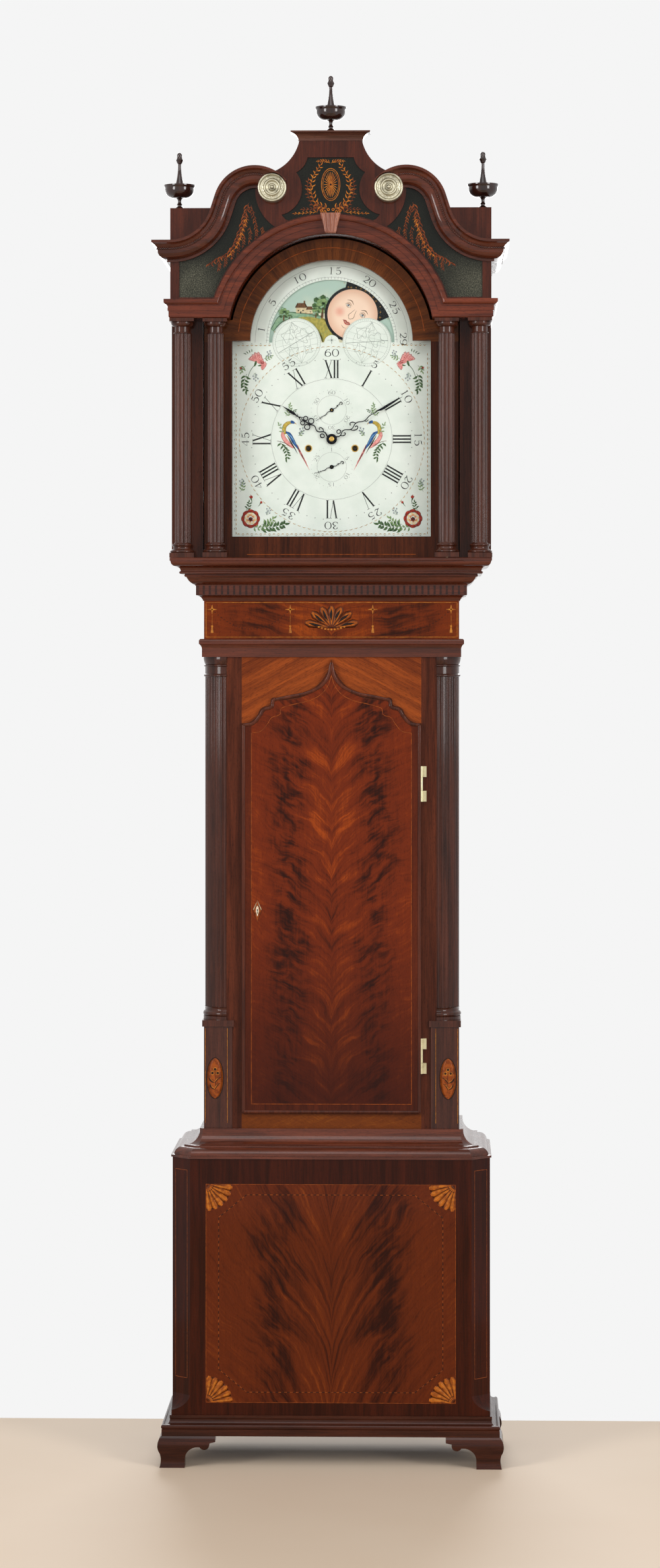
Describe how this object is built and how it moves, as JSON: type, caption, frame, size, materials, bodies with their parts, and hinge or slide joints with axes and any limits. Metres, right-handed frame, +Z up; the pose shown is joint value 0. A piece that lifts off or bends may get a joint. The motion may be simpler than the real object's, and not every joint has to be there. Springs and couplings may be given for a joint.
{
  "type": "longcase clock",
  "caption": "tall mahogany longcase clock with swan-neck hood, moon-arch painted dial, cusped trunk door and weight-driven movement",
  "frame": {"origin": "on the floor under the middle of the footprint", "axes": "+Z up, +X to the clock's right as seen from the front, front towards -Y"},
  "size_m": [0.613, 0.2846, 2.392],
  "materials": {
    "mahogany": "french polished dark mahogany",
    "figured_mahogany": "polished flame veneer",
    "oak": "plain stained oak",
    "black_glass": "back-painted black glass",
    "clear_glass": "clear crown glass",
    "brass": "lacquered brass",
    "painted_dial": "japanned white",
    "blued_steel": "dark blued steel",
    "gut": "twisted gut"
  },
  "bodies": {
    "case": {"backboard": "oak", "base_boards": "mahogany", "plinth_moulding": "mahogany", "bracket_feet": "mahogany", "waist_moulding": "mahogany", "trunk_sides": "mahogany", "trunk_front_frame": "mahogany", "trunk_corner_columns": "mahogany", "frieze_panel": "figured_mahogany", "frieze_moulding": "mahogany", "hood_seat_moulding": "mahogany", "seatboard": "oak", "trunk_hinge_pins": "brass", "dial_plate": "painted_dial", "movement_frame": "brass", "back_cock": "brass", "bell": "brass", "going_line": "gut", "strike_line": "gut", "line_ends": "gut"},
    "hood": {"hood_base_moulding": "mahogany", "hood_sides": "mahogany", "hood_front_frame": "mahogany", "entablature": "mahogany", "keystone": "mahogany", "hood_roof": "mahogany", "tympanum": "mahogany", "glass_panels": "black_glass", "swan_necks": "mahogany", "paterae": "brass", "finials": "mahogany", "pediment_cap": "mahogany", "hood_outer_columns": "mahogany"},
    "hood_door": {"hood_door_frame": "mahogany", "hood_door_glass": "clear_glass", "hood_door_columns": "mahogany", "hood_door_hinges": "brass"},
    "trunk_door": {"trunk_door": "figured_mahogany", "trunk_door_brasses": "brass"},
    "centre_arbor": {"centre_wheel": "brass", "minute_hand": "blued_steel"},
    "hour_pipe": {"hour_wheel": "brass", "hour_hand": "blued_steel"},
    "minute_wheel": {"minute_wheel": "brass"},
    "third_arbor": {"third_wheel": "brass"},
    "escape_arbor": {"escape_wheel": "brass", "seconds_hand": "blued_steel"},
    "great_wheel": {"going_great_wheel": "brass"},
    "anchor": {"anchor": "blued_steel"},
    "pendulum": {"pendulum": "brass"},
    "going_weight": {"going_weight": "brass"},
    "going_pulley": {"going_pulley": "brass"},
    "going_barrel": {"going_barrel": "brass"},
    "strike_weight": {"strike_weight": "brass"},
    "strike_pulley": {"strike_pulley": "brass"},
    "strike_barrel": {"strike_barrel": "brass"},
    "pin_wheel": {"pin_wheel": "brass"},
    "hammer": {"hammer": "blued_steel"},
    "moon_disc": {"moon_disc": "painted_dial"},
    "date_hand": {"date_hand": "blued_steel"}
  },
  "joints": [
    {"name": "hood_slide", "type": "slide", "parent": "case", "child": "hood", "axis": [0, -1, 0], "range_m": [0, 0.3]},
    {"name": "hood_door_hinge", "type": "hinge", "parent": "hood", "child": "hood_door", "pos_m": [0.1995, -0.09125, 1.76], "axis": [0, 0, 1], "range_deg": [0, 100]},
    {"name": "trunk_door_hinge", "type": "hinge", "parent": "case", "child": "trunk_door", "pos_m": [0.1555, -0.06329, 0.95], "axis": [0, 0, 1], "range_deg": [0, 110]},
    {"name": "centre_arbor", "type": "hinge", "parent": "case", "child": "centre_arbor", "pos_m": [0, 0, 1.77], "axis": [0, 1, 0], "continuous": true},
    {"name": "hour_pipe", "type": "hinge", "parent": "case", "child": "hour_pipe", "pos_m": [0, 0, 1.77], "axis": [0, 1, 0], "continuous": true},
    {"name": "minute_wheel", "type": "hinge", "parent": "case", "child": "minute_wheel", "pos_m": [0, 0, 1.742], "axis": [0, 1, 0], "continuous": true},
    {"name": "third_arbor", "type": "hinge", "parent": "case", "child": "third_arbor", "pos_m": [0.007, 0, 1.79628], "axis": [0, 1, 0], "continuous": true},
    {"name": "escape_arbor", "type": "hinge", "parent": "case", "child": "escape_arbor", "pos_m": [0, 0, 1.8205], "axis": [0, 1, 0], "continuous": true},
    {"name": "great_wheel", "type": "hinge", "parent": "case", "child": "great_wheel", "pos_m": [0.0403, 0, 1.754], "axis": [0, 1, 0], "continuous": true},
    {"name": "pendulum_swing", "type": "hinge", "parent": "case", "child": "pendulum", "pos_m": [0, 0, 1.8474], "axis": [0, 1, 0], "range_deg": [-3, 3]},
    {"name": "anchor_swing", "type": "hinge", "parent": "case", "child": "anchor", "pos_m": [0, 0, 1.8474], "axis": [0, 1, 0], "range_deg": [-3.2, 3.2]},
    {"name": "going_weight_drop", "type": "slide", "parent": "case", "child": "going_weight", "axis": [0, 0, -1], "range_m": [0, 1.1], "deforming": ["going_line"]},
    {"name": "going_pulley", "type": "hinge", "parent": "going_weight", "child": "going_pulley", "pos_m": [0.0392, 0, 1.59], "axis": [0, 1, 0], "range_deg": [-2628.7, 0]},
    {"name": "going_barrel", "type": "hinge", "parent": "case", "child": "going_barrel", "pos_m": [0.0403, 0, 1.754], "axis": [0, 1, 0], "range_deg": [-5027, 0]},
    {"name": "strike_weight_drop", "type": "slide", "parent": "case", "child": "strike_weight", "axis": [0, 0, -1], "range_m": [0, 1.1], "deforming": ["strike_line"]},
    {"name": "strike_pulley", "type": "hinge", "parent": "strike_weight", "child": "strike_pulley", "pos_m": [-0.0392, 0, 1.59], "axis": [0, 1, 0], "range_deg": [0, 2628.7]},
    {"name": "strike_barrel", "type": "hinge", "parent": "case", "child": "strike_barrel", "pos_m": [-0.0403, 0, 1.754], "axis": [0, 1, 0], "range_deg": [0, 5027]},
    {"name": "pin_wheel", "type": "hinge", "parent": "case", "child": "pin_wheel", "pos_m": [-0.052, 0, 1.79054], "axis": [0, 1, 0], "range_deg": [-52783.1, 0]},
    {"name": "hammer_lift", "type": "hinge", "parent": "case", "child": "hammer", "pos_m": [-0.04, 0, 1.838], "axis": [0, 1, 0], "range_deg": [-12, 0], "stiffness_Nm_per_rad": 0.02, "springref_deg": 11.46},
    {"name": "moon_disc", "type": "hinge", "parent": "case", "child": "moon_disc", "pos_m": [0, 0, 1.938], "axis": [0, 1, 0], "continuous": true},
    {"name": "date_hand", "type": "hinge", "parent": "case", "child": "date_hand", "pos_m": [0, 0, 1.7217], "axis": [0, 1, 0], "continuous": true}
  ],
  "couplings": [
    {"joint": "hour_pipe", "follows": "centre_arbor", "ratio": 0.083333},
    {"joint": "minute_wheel", "follows": "centre_arbor", "ratio": -1},
    {"joint": "third_arbor", "follows": "centre_arbor", "ratio": -7.5},
    {"joint": "escape_arbor", "follows": "centre_arbor", "ratio": 60},
    {"joint": "great_wheel", "follows": "centre_arbor", "ratio": -0.083333},
    {"joint": "anchor_swing", "follows": "pendulum_swing", "ratio": 1},
    {"joint": "going_pulley", "follows": "going_weight_drop", "rad_per_m": -41.667},
    {"joint": "going_barrel", "follows": "going_weight_drop", "rad_per_m": -79.681},
    {"joint": "strike_pulley", "follows": "strike_weight_drop", "rad_per_m": 41.667},
    {"joint": "strike_barrel", "follows": "strike_weight_drop", "rad_per_m": 79.681},
    {"joint": "pin_wheel", "follows": "strike_weight_drop", "rad_per_m": -836.65}
  ]
}
